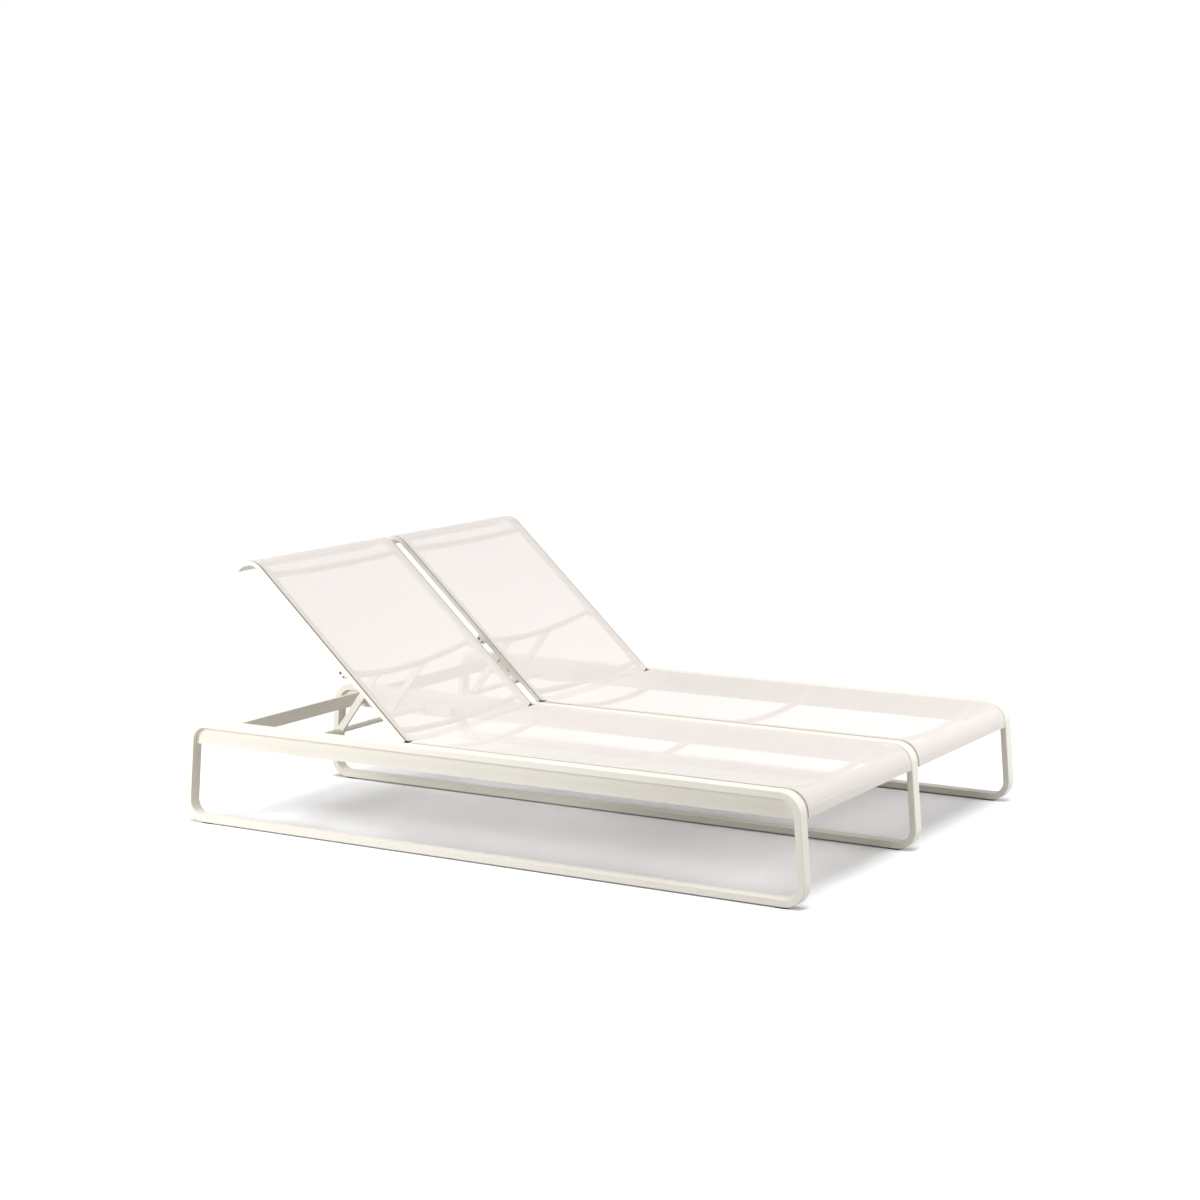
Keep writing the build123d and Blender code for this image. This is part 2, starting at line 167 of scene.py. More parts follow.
class NodeTree:
    """A tree of shader nodes, with one method that adds any node."""

    def __init__(self, tree: bpy.types.NodeTree) -> None:
        """Start from an empty tree."""
        self.tree = tree
        tree.nodes.clear()

    def node(
        self, kind: str, settings: dict[str, Any], inputs: dict[str | int, Any], out: str | int = 0
    ) -> Signal:
        """Add a node.

        Args:
            kind: the node's type.
            settings: its properties, which are set first.
            inputs: a value or a Signal for each socket, by name or number.
            out: the output that is returned.

        Returns:
            The chosen output.
        """
        node = self.tree.nodes.new(kind)
        for name, value in settings.items():
            setattr(node, name, value)
        for name, value in inputs.items():
            socket = node.inputs[name]
            if isinstance(value, Signal):
                self.tree.links.new(value.socket, socket)
            else:
                socket.default_value = value
        return Signal(self, node.outputs[out])

    def blend(self, share: Signal, first: Signal | Colour, second: Signal | Colour) -> Signal:
        """Mix two colours.

        Args:
            share: how much of the second colour shows.
            first: the colour at a share of 0.
            second: the colour at a share of 1.

        Returns:
            The mixed colour.
        """
        sides = [side if isinstance(side, Signal) else (*side, 1.0) for side in (first, second)]
        return self.node("ShaderNodeMix", {"data_type": "RGBA"}, {0: share, 6: sides[0], 7: sides[1]}, 2)

    def noise(self, where: Signal, kind: Noise) -> Signal:
        """Noise of one kind at a place."""
        inputs = {"Vector": where, "Scale": kind.scale, "Detail": kind.detail, "Roughness": kind.roughness}
        return self.node("ShaderNodeTexNoise", {}, inputs)

    def bump(self, height: Signal, strength: float, distance: float) -> Signal:
        """Normal that follows a height."""
        return self.node("ShaderNodeBump", {}, {"Strength": strength, "Distance": distance, "Height": height})

    def place(self) -> Signal:
        """Object coordinates."""
        return self.node("ShaderNodeTexCoord", {}, {}, "Object")

    def surface(self, shader: Signal, output: str = "ShaderNodeOutputMaterial") -> None:
        """Link a shader to an output node."""
        self.tree.links.new(shader.socket, self.tree.nodes.new(output).inputs["Surface"])


def new_material(name: str) -> tuple[bpy.types.Material, NodeTree]:
    """Make a material with an empty node tree.

    Args:
        name: the material's name.

    Returns:
        The material and its nodes.
    """
    material = bpy.data.materials.new(name)
    material.use_nodes = True
    return material, NodeTree(material.node_tree)


# Finishes


@dataclass(frozen=True)
class Finish:
    """A named finish, which each kind of surface describes through its shader's inputs."""

    name: str

    def inputs(self, nodes: NodeTree) -> dict[str, Any]:
        """The surface shader's inputs, added to the nodes."""
        raise NotImplementedError

    def material(self) -> bpy.types.Material:
        """Build the finish.

        Returns:
            The material.
        """
        material, nodes = new_material(self.name)
        nodes.surface(nodes.node("ShaderNodeBsdfPrincipled", {}, self.inputs(nodes)))
        return material


@dataclass(frozen=True)
class PowderCoat(Finish):
    """Satin powder coat on aluminium, with the fine skin that the oven leaves."""

    colour: Colour
    shade: Colour
    roughness: float = 0.40
    roughness_spread: float = 0.14
    grain_roughness: float = 0.08
    cloud: Noise = Noise(5.0, 3.0)
    cloud_start: float = 0.35
    cloud_contrast: float = 1.6
    cloud_share: float = 0.7
    skin: Noise = Noise(420.0, 3.0)
    grain: Noise = Noise(1600.0, 1.0)
    grain_share: float = 0.3
    grain_relief: float = 0.35
    skin_height: float = 0.00012
    bump_strength: float = 0.35
    ior: float = 1.45

    def inputs(self, nodes: NodeTree) -> dict[str, Any]:
        """Cloud the colour and roughen the skin.

        Args:
            nodes: the material's nodes.

        Returns:
            The surface shader's inputs.
        """
        place = nodes.place()
        skin = nodes.noise(place, self.skin)
        grain = nodes.noise(place, self.grain)
        cloud = nodes.noise(place, self.cloud)
        patch = (cloud - self.cloud_start).math("MULTIPLY", self.cloud_contrast, clamp=True)
        tint = patch * self.cloud_share + grain * self.grain_share
        smoothest = self.roughness - self.roughness_spread / 2
        return {
            "Base Color": nodes.blend(tint, self.colour, self.shade),
            "Roughness": cloud * self.roughness_spread + grain * self.grain_roughness + smoothest,
            "Normal": nodes.bump(skin + grain * self.grain_relief, self.bump_strength, self.skin_height),
            "IOR": self.ior,
        }


@dataclass(frozen=True)
class MouldedPlastic(Finish):
    """Moulded nylon or rubber with a fine eroded grain and rubbed high spots."""

    colour: Colour
    rubbed: Colour
    roughness: float = 0.52
    roughness_spread: float = 0.2
    rub: Noise = Noise(70.0, 3.0)
    grain: Noise = Noise(900.0, 2.0)
    grain_height: float = 0.00016
    bump_strength: float = 0.5

    def inputs(self, nodes: NodeTree) -> dict[str, Any]:
        """Grain the surface and rub it paler in places.

        Args:
            nodes: the material's nodes.

        Returns:
            The surface shader's inputs.
        """
        place = nodes.place()
        grain = nodes.noise(place, self.grain)
        rub = nodes.noise(place, self.rub)
        return {
            "Base Color": nodes.blend(rub * grain, self.colour, self.rubbed),
            "Roughness": rub * self.roughness_spread + (self.roughness - self.roughness_spread / 2),
            "Normal": nodes.bump(grain, self.bump_strength, self.grain_height),
        }


@dataclass(frozen=True)
class PlatedSteel(Finish):
    """Zinc-plated steel of the small screws."""

    colour: Colour
    dull: Colour
    metallic: float = 0.9
    smoothest: float = 0.24
    roughness_spread: float = 0.25
    bloom: Noise = Noise(260.0, 4.0)
    turning: Noise = Noise(1500.0, 1.0)
    turning_height: float = 0.00008
    bump_strength: float = 0.3

    def inputs(self, nodes: NodeTree) -> dict[str, Any]:
        """Dull the plating in patches over fine tool marks.

        Args:
            nodes: the material's nodes.

        Returns:
            The surface shader's inputs.
        """
        place = nodes.place()
        bloom = nodes.noise(place, self.bloom)
        turning = nodes.noise(place, self.turning)
        return {
            "Base Color": nodes.blend(bloom, self.colour, self.dull),
            "Metallic": self.metallic,
            "Roughness": bloom * self.roughness_spread + self.smoothest,
            "Normal": nodes.bump(turning, self.bump_strength, self.turning_height),
        }


@dataclass(frozen=True)
class SlingCloth(Finish):
    """Open weave of coated yarn, with holes at the crossings and a folded, stitched hem."""

    yarn: Colour
    # Darker copy of the yarn: painted shade where a thread passes under its neighbour.
    under_yarn: Colour
    thread: Colour
    pitch: float = 0.0024
    opening: float = 0.48
    opening_edge: float = 0.16
    opening_depth: float = 0.97
    hem_width: float = 0.018
    hem_cover: float = 0.2
    hem_edge: float = 0.0006
    fold_width: float = 0.0020
    thread_edge: float = 0.0004
    stitch_inset: float = 0.0145
    stitch_width: float = 0.0012
    stitch_length: float = 0.0045
    stitch_share: float = 0.72
    stitch_gap_edge: float = 0.1
    cloud: Noise = Noise(9.0, 3.0)
    cloud_share: float = 0.15
    fibre: Noise = Noise(1100.0, 2.0)
    fibre_share: float = 0.35
    over_share: float = 0.5
    smoothest: float = 0.58
    roughness_spread: float = 0.16
    crown_relief: float = 0.7
    stitch_relief: float = 1.5
    relief_height: float = 0.00035
    bump_strength: float = 0.55
    sheen: float = 0.12
    sheen_roughness: float = 0.5

    def inputs(self, nodes: NodeTree) -> dict[str, Any]:
        """Weave the cloth on its own UV map, in metres, and stitch it at its distance from the hem.

        Args:
            nodes: the material's nodes.

        Returns:
            The surface shader's inputs.
        """
        flat = nodes.node("ShaderNodeTexCoord", {}, {}, "UV")
        sideways = nodes.node("ShaderNodeSeparateXYZ", {}, {0: flat})
        along = sideways.sibling(1) / self.pitch
        row = along.whole()
        across = sideways / self.pitch + (row % 2.0) * 0.5
        column = across.whole()
        from_middle = abs((across - column) * 2.0 - 1.0)
        from_centre = abs((along - row) * 2.0 - 1.0)
        edge = self.opening_edge
        hole = from_middle.below(self.opening, edge) * from_centre.below(self.opening, edge)
        over = (column + row) % 2.0
        crown = (1.0 - from_middle * from_middle) * over + (1.0 - from_centre * from_centre) * (1.0 - over)

        distance = nodes.node("ShaderNodeAttribute", {"attribute_name": HEM_LAYER}, {}, "Fac")
        hem = distance.below(self.hem_width, self.hem_edge)
        fold = distance.below(self.fold_width, self.thread_edge)
        dash = ((sideways / self.stitch_length) % 1.0).below(self.stitch_share, self.stitch_gap_edge)
        stitch = abs(distance - self.stitch_inset).below(self.stitch_width / 2, self.thread_edge) * dash
        solid = (hem * self.hem_cover).math("MAXIMUM", stitch).math("MAXIMUM", fold)

        place = nodes.place()
        cloud = nodes.noise(place, self.cloud)
        fibre = nodes.noise(place, self.fibre)
        # Alternate crossings lean towards the darker under yarn, as painted shade where a thread dips under;
        # fibre and cloud noise add random tone.
        tone = over * self.over_share + fibre * self.fibre_share + cloud * self.cloud_share
        woven = nodes.blend(tone.math("MINIMUM", 1.0), self.yarn, self.under_yarn)
        relief = crown * self.crown_relief - hole + stitch * self.stitch_relief
        return {
            "Base Color": nodes.blend(stitch, woven, self.thread),
            "Roughness": fibre * self.roughness_spread + self.smoothest,
            "Alpha": 1.0 - hole * (1.0 - solid) * self.opening_depth,
            "Normal": nodes.bump(relief, self.bump_strength, self.relief_height),
            "Sheen Weight": self.sheen,
            "Sheen Roughness": self.sheen_roughness,
        }


PAINT = PowderCoat("cream_powder_coat", colour=(0.905, 0.870, 0.780), shade=(0.882, 0.843, 0.746))
# Rail plates: a speckled powder coat with colours set darker than the loops' paint. The darkness is painted
# shade for plates recessed under the top tubes; the speckle is the coat's own texture.
PLATE_PAINT_WITH_PAINTED_SHADE = PowderCoat(
    "speckled_plate_coat_painted_shade",
    colour=(0.890, 0.852, 0.762),
    shade=(0.810, 0.770, 0.675),
    skin=Noise(260.0, 3.0),
)
NYLON = MouldedPlastic("black_nylon", colour=(0.018, 0.018, 0.019), rubbed=(0.05, 0.05, 0.05))
# Near-black rubber of the splines: the splines' own colour, and painted shade of the deep slots beside the
# beads.
SLOT_SHADE_RUBBER = MouldedPlastic(
    "spline_rubber_painted_slot_shade", colour=(0.05, 0.047, 0.045), rubbed=(0.10, 0.095, 0.09), roughness=0.75
)
STEEL = PlatedSteel("dark_zinc", colour=(0.20, 0.20, 0.19), dull=(0.12, 0.12, 0.12))
WEAVE = SlingCloth(
    "sling_weave", yarn=(0.975, 0.915, 0.875), under_yarn=(0.93, 0.86, 0.815), thread=(0.93, 0.88, 0.835)
)
INNER_WEAVE = replace(WEAVE, name="sling_inner_weave", opening=0.94)


# Pieces


def finished(
    name: str, shape: BMesh, material: bpy.types.Material, body: str, crease: float = 35.0
) -> bpy.types.Object:
    """Turn a bmesh into a piece that rides on a body.

    Args:
        name: the piece's name.
        shape: its shape, in its place; it is freed.
        material: its finish.
        body: the CAD body that it moves with.
        crease: edges sharper than this many degrees stay sharp.

    Returns:
        The new object.
    """
    mesh = bpy.data.meshes.new(name)
    shape.to_mesh(mesh)
    shape.free()
    mesh.polygons.foreach_set("use_smooth", [True] * len(mesh.polygons))
    mesh.set_sharp_from_angle(angle=math.radians(crease))
    mesh.materials.append(material)
    piece = bpy.data.objects.new(name, mesh)
    bpy.context.scene.collection.objects.link(piece)
    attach(piece, body)
    LOG.info("piece %s: %d faces, rides on %s", name, len(mesh.polygons), body)
    return piece


def only(kind: type, items: Sequence[Any]) -> list[Any]:
    """The items of one kind."""
    return [item for item in items if isinstance(item, kind)]


@dataclass(frozen=True)
class FrameSizes:
    """Sizes of the CAD frame that the new pieces are fitted to, in metres and degrees."""

    bed_x: float = 0.361
    top: float = 0.306
    half_top: float = 0.98731
    corner_radius: float = 0.060
    leg_flare: float = 4.74
    roll_end: float = 0.235
    hinge_y: float = 0.249
    hinge_z: float = 0.299
    back_angle: float = 42.67
    rail_inner: float = 0.308
    rail_outer: float = 0.338
    rail_end: float = 0.0085
    rail_depth: float = 0.011
    rail_top: float = 0.3048

    @property
    def flare(self) -> float:
        """Lean of the legs, in radians."""
        return math.radians(self.leg_flare)

    @property
    def corner_y(self) -> float:
        """Distance along the bed to the centre of a roll."""
        return self.half_top - self.corner_radius / math.tan(math.radians(90 + self.leg_flare) / 2)

    @property
    def corner_z(self) -> float:
        """Height of the centre of a roll."""
        return self.top - self.corner_radius

    @property
    def roll_angle(self) -> float:
        """Angle that a roll turns through, in radians."""
        return math.radians(90 - self.leg_flare)

    @property
    def arc_end_z(self) -> float:
        """Height at which the arc of a roll ends."""
        return self.corner_z + self.corner_radius * math.cos(self.roll_angle)

    @property
    def roll_drop(self) -> float:
        """Height from the end of a roll's arc down to its hem bar."""
        return self.arc_end_z - self.roll_end

    def recline(self, shape: BMesh) -> None:
        """Turn a shape that is drawn on a flat backrest to the angle that it rests at."""
        turn = Matrix.Rotation(math.radians(self.back_angle), 3, "X")
        bmesh.ops.rotate(shape, cent=(0, self.hinge_y, self.hinge_z), matrix=turn, verts=shape.verts)


class BedPiece:
    """A piece that runs along the seat or the backrest of one bed and round its roll."""

    ROLL_STEPS = 16

    def __init__(self, bed: Bed, part: Part, frame: FrameSizes) -> None:
        """Choose where the piece lies.

        Args:
            bed: its bed.
            part: the seat or the backrest.
            frame: the sizes of the frame.
        """
        self.bed = bed
        self.part = part
        self.frame = frame
        self.end = -1 if part is Part.SEAT else 1
        self.body = "frame" if part is Part.SEAT else f"backrest_{bed.label}"

    def _name(self, kind: str) -> str:
        """Name of a piece or node of this part of the bed."""
        return f"{self.part.value}_{kind}_{self.bed.label}"

    def _round_roll(self, shape: BMesh, section: list[Any]) -> list[Any]:
        """Spin a section round the roll.

        Args:
            shape: the bmesh that it is in.
            section: its edges or faces, at the start of the roll's arc.

        Returns:
            What the spin leaves at the end of the arc.
        """
        spun = bmesh.ops.spin(
            shape,
            geom=section,
            cent=(0, self.end * self.frame.corner_y, self.frame.corner_z),
            axis=(1, 0, 0),
            angle=-self.end * self.frame.roll_angle,
            steps=self.ROLL_STEPS,
            use_merge=False,
        )
        return spun["geom_last"]

    def _down_leg(self) -> Vector:
        """The way from the end of the roll's arc down to its hem bar."""
        drop = self.frame.roll_drop
        return Vector((0, self.end * drop * math.tan(self.frame.flare), -drop))

    def _set_in_place(self, shape: BMesh) -> None:
        """Recline a backrest's shape, and move any shape to its bed.

        Args:
            shape: the finished shape, drawn flat in the middle of the lounger.
        """
        if self.part is Part.BACK:
            self.frame.recline(shape)
        bmesh.ops.translate(shape, vec=(self.bed.sign * self.frame.bed_x, 0, 0), verts=shape.verts)


@dataclass(frozen=True)
class SlingSizes:
    """Sizes of one cloth before the bed is reclined."""

    hem_y: float
    hem_bow: float
    hem_power: float
    sag: float
    half_width: float = 0.3308
    bead_depth: float = 0.0055
    thickness: float = 0.0012
    columns: int = 32
    rows: int = 56


class Sling(BedPiece):
    """The cloth of a seat or a backrest, stretched between its edge rails and round its roll."""

    SIZES = {
        Part.SEAT: SlingSizes(hem_y=0.2395, hem_bow=0.0015, hem_power=2.0, sag=0.004),
        Part.BACK: SlingSizes(hem_y=0.2585, hem_bow=0.0155, hem_power=9.0, sag=0.003),
    }
    HEM_BARS = {Part.SEAT: "foot_hem_bar", Part.BACK: "head_hem_bar"}
    TOUCH = 1e-6  # what lies nearer together than this is taken as one
    MAP_MARGIN_X = 0.5
    MAP_MARGIN_Y = 0.1

    def __init__(
        self, bed: Bed, part: Part, frame: FrameSizes, cloth: bpy.types.Material, lining: bpy.types.Material
    ) -> None:
        """Choose the cloth's place and finishes.

        Args:
            bed: its bed.
            part: the seat or the backrest.
            frame: the sizes of the frame.
            cloth: the finish of its outer face and rim.
            lining: the finish of its inner face.
        """
        super().__init__(bed, part, frame)
        self.cloth = cloth
        self.lining = lining
        self.sizes = self.SIZES[part]

    def _turn_at(self, place: Vector) -> float:
        """Find which way the cloth faces.

        Args:
            place: a point of the cloth.

        Returns:
            The angle of its outward normal from upright, in radians.
        """
        beyond = self.end * place.y - self.frame.corner_y
        if beyond <= 0:
            return 0.0
        return min(math.atan2(beyond, place.z - self.frame.corner_z), self.frame.roll_angle)

    def _run_at(self, place: Vector) -> float:
        """Measure along the cloth.

        Args:
            place: a point of the cloth.

        Returns:
            The length of cloth from the middle of the bed to the point.
        """
        frame = self.frame
        turn = self._turn_at(place)
        if turn == 0.0:
            return self.end * place.y
        run = frame.corner_y + frame.corner_radius * turn
        if turn < frame.roll_angle:
            return run
        return run + max(0.0, frame.arc_end_z - place.z) / math.cos(frame.flare)

    def _hem_at(self, x: float) -> float:
        """Y of the free hem, which lies nearer to the foot end between the hinges than beside them."""
        sizes = self.sizes
        return sizes.hem_y - sizes.hem_bow * (1 - abs(x / sizes.half_width) ** sizes.hem_power)

    def _flat_cloth(self, shape: BMesh) -> None:
        """Lay the flat run, bow its hem and let its middle sink a little.

        Args:
            shape: the bmesh that gets it.
        """
        sizes, frame = self.sizes, self.frame
        low, high = sorted((sizes.hem_y, self.end * frame.corner_y))
        bmesh.ops.create_grid(shape, x_segments=sizes.columns, y_segments=sizes.rows, size=0.5)
        bmesh.ops.scale(shape, vec=(2 * sizes.half_width, high - low, 1), verts=shape.verts)
        bmesh.ops.translate(shape, vec=(0, (low + high) / 2, frame.top), verts=shape.verts)
        reach = self.end * frame.corner_y - sizes.hem_y
        for vert in shape.verts:
            share = (vert.co.y - sizes.hem_y) / reach
            across = 1 - (vert.co.x / sizes.half_width) ** 2
            vert.co.y += (self._hem_at(vert.co.x) - sizes.hem_y) * (1 - share) ** 2
            vert.co.z -= sizes.sag * across * (1 - share**6)

    def _roll(self, shape: BMesh) -> None:
        """Carry the cloth round the roll and down to its hem bar.

        Args:
            shape: the bmesh that holds the flat run.
        """
        line = self.end * self.frame.corner_y
        edges = [edge for edge in shape.edges if all(abs(v.co.y - line) < self.TOUCH for v in edge.verts)]
        last = only(BMEdge, self._round_roll(shape, edges))
        pulled = bmesh.ops.extrude_edge_only(shape, edges=last)["geom"]
        bmesh.ops.translate(shape, vec=self._down_leg(), verts=only(BMVert, pulled))

    def _beads(self, shape: BMesh) -> None:
        """Turn the two long edges down into the slots of the rails.

        Args:
            shape: the bmesh that holds the cloth.
        """
        half = self.sizes.half_width
        rim = [edge for edge in shape.edges if edge.is_boundary]
        edges = [edge for edge in rim if all(abs(abs(v.co.x) - half) < self.TOUCH for v in edge.verts)]
        pulled = bmesh.ops.extrude_edge_only(shape, edges=edges)["geom"]
        for vert in only(BMVert, pulled):
            turn = self._turn_at(vert.co)
            inwards = Vector((0, -self.end * math.sin(turn), -math.cos(turn)))
            vert.co += inwards * self.sizes.bead_depth

    def _map_cloth(self, shape: BMesh) -> None:
        """Write the UV map, in metres, and each point's distance from the free hem.

        Args:
            shape: the bmesh that holds the cloth.
        """
        half = self.sizes.half_width
        start = self.end * self.sizes.hem_y - self.MAP_MARGIN_Y
        sheet = shape.loops.layers.uv.new("UVMap")
        far = shape.verts.layers.float.new(HEM_LAYER)
        for vert in shape.verts:
            hem = self.end * self._hem_at(max(-half, min(half, vert.co.x)))
            vert[far] = max(0.0, self._run_at(vert.co) - hem)
        for face in shape.faces:
            for loop in face.loops:
                place = loop.vert.co
                loop[sheet].uv = (place.x + self.MAP_MARGIN_X, self._run_at(place) - start)

    def build(self) -> bpy.types.Object:
        """Returns:
            The cloth.
        """
        shape = bmesh.new()
        self._flat_cloth(shape)
        self._roll(shape)
        self._beads(shape)
        bmesh.ops.remove_doubles(shape, verts=shape.verts, dist=self.TOUCH)
        bmesh.ops.recalc_face_normals(shape, faces=shape.faces)
        middle = min(shape.faces, key=lambda face: face.calc_center_median().xy.length)
        if middle.normal.z < 0:
            bmesh.ops.reverse_faces(shape, faces=shape.faces)
        shape.edges.index_update()
        rim = [edge.index for edge in shape.edges if edge.is_boundary]
        self._map_cloth(shape)
        self._set_in_place(shape)
        piece = finished(self._name("cloth"), shape, self.cloth, self.body)
        piece.data.materials.append(self.lining)
        for index in rim:
            piece.data.edges[index].use_edge_sharp = True
        wall = piece.modifiers.new("cloth", "SOLIDIFY")
        wall.thickness = self.sizes.thickness
        wall.offset = -1.0
        wall.use_even_offset = True
        wall.material_offset = 1
        wall.material_offset_rim = 0
        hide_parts(self._name("sling"))
        self._declare(piece)
        return piece

    def _declare(self, piece: bpy.types.Object) -> None:
        """Work out the run of the cloth's flat size, which is its run by its width with both beads, and the
        names of its rails; nothing uses them after.

        Args:
            piece: the cloth; not used.
        """
        sizes, frame = self.sizes, self.frame
        run = abs(self.end * frame.corner_y - sizes.hem_y)
        run += frame.corner_radius * frame.roll_angle + frame.roll_drop / math.cos(frame.flare)
        run += self.end * sizes.hem_bow * sizes.hem_power / (sizes.hem_power + 1)
        rails = [f"{self._name('rail')}_{side}" for side in ("left", "right")]


@dataclass(frozen=True)
class SplineSizes:
    """Sizes of the rubber spline that wedges a bead in its slot, whose dark colour is also painted shade in
    the slot.
    """

    inner: float = 0.3312
    outer: float = 0.3349
    sunk: float = 0.0005
    depth: float = 0.0050


class Splines(BedPiece):
    """Dark rubber splines beside the beads, in the slots of a seat or a backrest; their dark colour is also
    painted shade for the deep slots.
    """

    def __init__(self, bed: Bed, part: Part, frame: FrameSizes, rubber: bpy.types.Material) -> None:
        """Choose the splines' place and finish.

        Args:
            bed: their bed.
            part: the seat or the backrest.
            frame: the sizes of the frame.
            rubber: their finish, whose dark colour is painted shade in the slots.
        """
        super().__init__(bed, part, frame)
        self.rubber = rubber
        self.sizes = SplineSizes()

    def _strand(self, shape: BMesh, side: int) -> None:
        """Draw a spline's section at the hinge and carry it along the rail and round the roll.

        Args:
            shape: the bmesh that gets it.
            side: minus one or one, the long edge of the bed.
        """
        sizes, frame = self.sizes, self.frame
        start = frame.hinge_y + self.end * frame.rail_end
        top = frame.rail_top - sizes.sunk
        low = top - sizes.depth
        corners = ((sizes.inner, top), (sizes.outer, top), (sizes.outer, low), (sizes.inner, low))
        section = [shape.faces.new([shape.verts.new((side * x, start, z)) for x, z in corners])]
        section = self._drawn(shape, section, Vector((0, self.end * frame.corner_y - start, 0)))
        section = only(BMFace, self._round_roll(shape, section))
        self._drawn(shape, section, self._down_leg())

    @staticmethod
    def _drawn(shape: BMesh, section: list[BMFace], move: Vector) -> list[BMFace]:
        """Extrude a section along a line.

        Args:
            shape: the bmesh that it is in.
            section: its faces.
            move: the line, from its start to its end.

        Returns:
            The section's far end.
        """
        pulled = bmesh.ops.extrude_face_region(shape, geom=section)["geom"]
        bmesh.ops.translate(shape, vec=move, verts=only(BMVert, pulled))
        return only(BMFace, pulled)

    def build(self) -> bpy.types.Object:
        """Build both splines as one piece.

        Returns:
            The piece.
        """
        shape = bmesh.new()
        for side in SIDES:
            self._strand(shape, side)
        inside = [face for face in shape.faces if all(len(edge.link_faces) > 2 for edge in face.edges)]
        bmesh.ops.delete(shape, geom=inside, context="FACES_ONLY")
        bmesh.ops.recalc_face_normals(shape, faces=shape.faces)
        self._set_in_place(shape)
        return finished(self._name("splines"), shape, self.rubber, self.body)


@dataclass(frozen=True)
class FastenerSizes:
    """Sizes of the small screws, plugs, pivot caps and hinge sleeves."""

    ear_reach: float = 0.288927
    ear_drop: float = 0.017
    ear_face: float = 0.334
    screw_setback: float = 0.0150
    screw_radius: float = 0.0030
    screw_height: float = 0.0016
    screw_facets: int = 20
    dome_inset_share: float = 0.35
    dome_rise_share: float = 0.3
    socket_rim_share: float = 0.2
    socket_depth: float = 0.0011
    plug_inset: float = 0.0012
    plug_proud: float = 0.0011
    plug_rim: float = 0.0014
    plug_dish: float = 0.0003
    plug_bevel: float = 0.0004
    cap_radius: float = 0.0040
    cap_sunk: float = 0.0012
    cap_height: float = 0.0016
    cap_facets: int = 28
    cap_wall_share: float = 0.6
    cap_ring_share: float = 0.3
    cap_rise_shares: tuple[float, float] = (0.30, 0.10)
    sleeve_inner: float = 0.0065
    sleeve_outer: float = 0.0072
    sleeve_near: float = 0.3085
    sleeve_far: float = 0.3222
    sleeve_gap: float = 50.0
    sleeve_steps: int = 26


